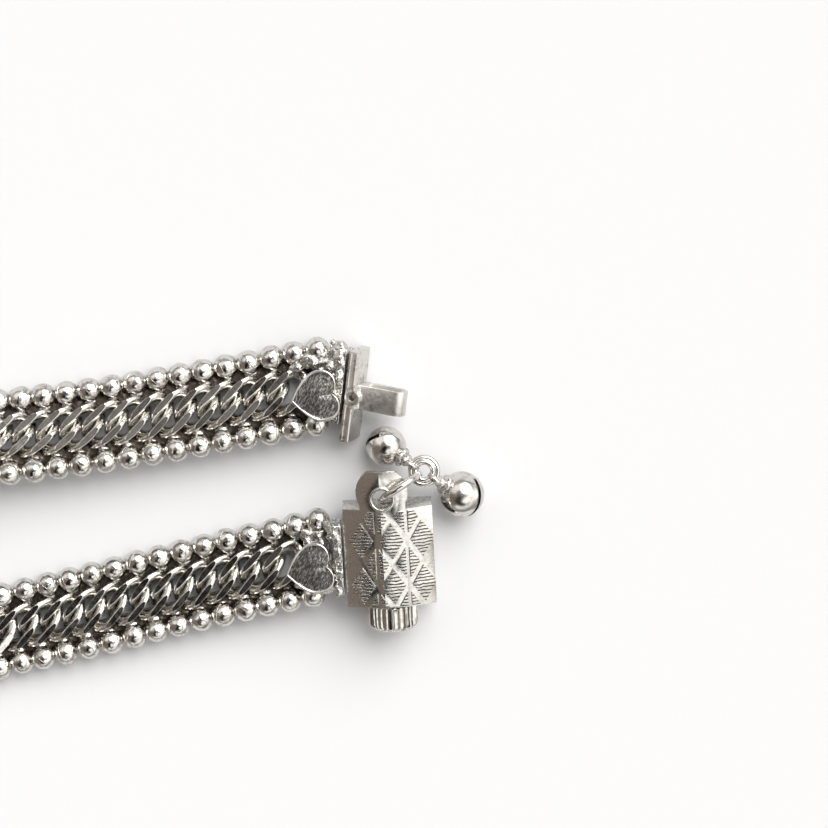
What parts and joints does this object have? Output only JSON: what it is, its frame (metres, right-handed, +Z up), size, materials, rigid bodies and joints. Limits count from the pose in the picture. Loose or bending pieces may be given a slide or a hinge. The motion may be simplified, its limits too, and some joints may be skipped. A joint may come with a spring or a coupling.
{
  "type": "chain anklet",
  "caption": "Whole-loop chain anklet: curb chain between two rows of beads, heart ends, box clasp with a knurled screw, and two small bells on jump rings.",
  "frame": {"origin": "on the table, under the middle of the anklet's box", "axes": "+X along the loop towards the clasp, +Z up from the table"},
  "size_m": [0.127, 0.0534, 0.0119],
  "materials": {
    "polished_silver": "polished silver plate, lightly worn",
    "aged_silver": "silver plate, tarnished in the hollows",
    "rough_silver": "rough cast silver, dark between bright grains"
  },
  "bodies": {
    "band": {"chain_tongue_side": "polished_silver", "chain_clasp_side": "polished_silver", "bead_row_inner_tongue_side": "polished_silver", "bead_row_outer_tongue_side": "polished_silver", "bead_row_inner_clasp_side": "polished_silver", "bead_row_outer_clasp_side": "polished_silver", "tongue_bar": "aged_silver", "clasp_box": "aged_silver", "heart_end_tongue": "rough_silver", "heart_end_clasp": "rough_silver", "ring_large": "polished_silver", "ring_small": "polished_silver", "bell_upper": "aged_silver", "bell_lower": "aged_silver"},
    "screw": {"clasp_screw": "polished_silver"}
  },
  "joints": [
    {"name": "screw_slide", "type": "slide", "parent": "band", "child": "screw", "axis": [0.0523, -0.9973, -0.0523], "range_m": [0, 0.0085]}
  ]
}
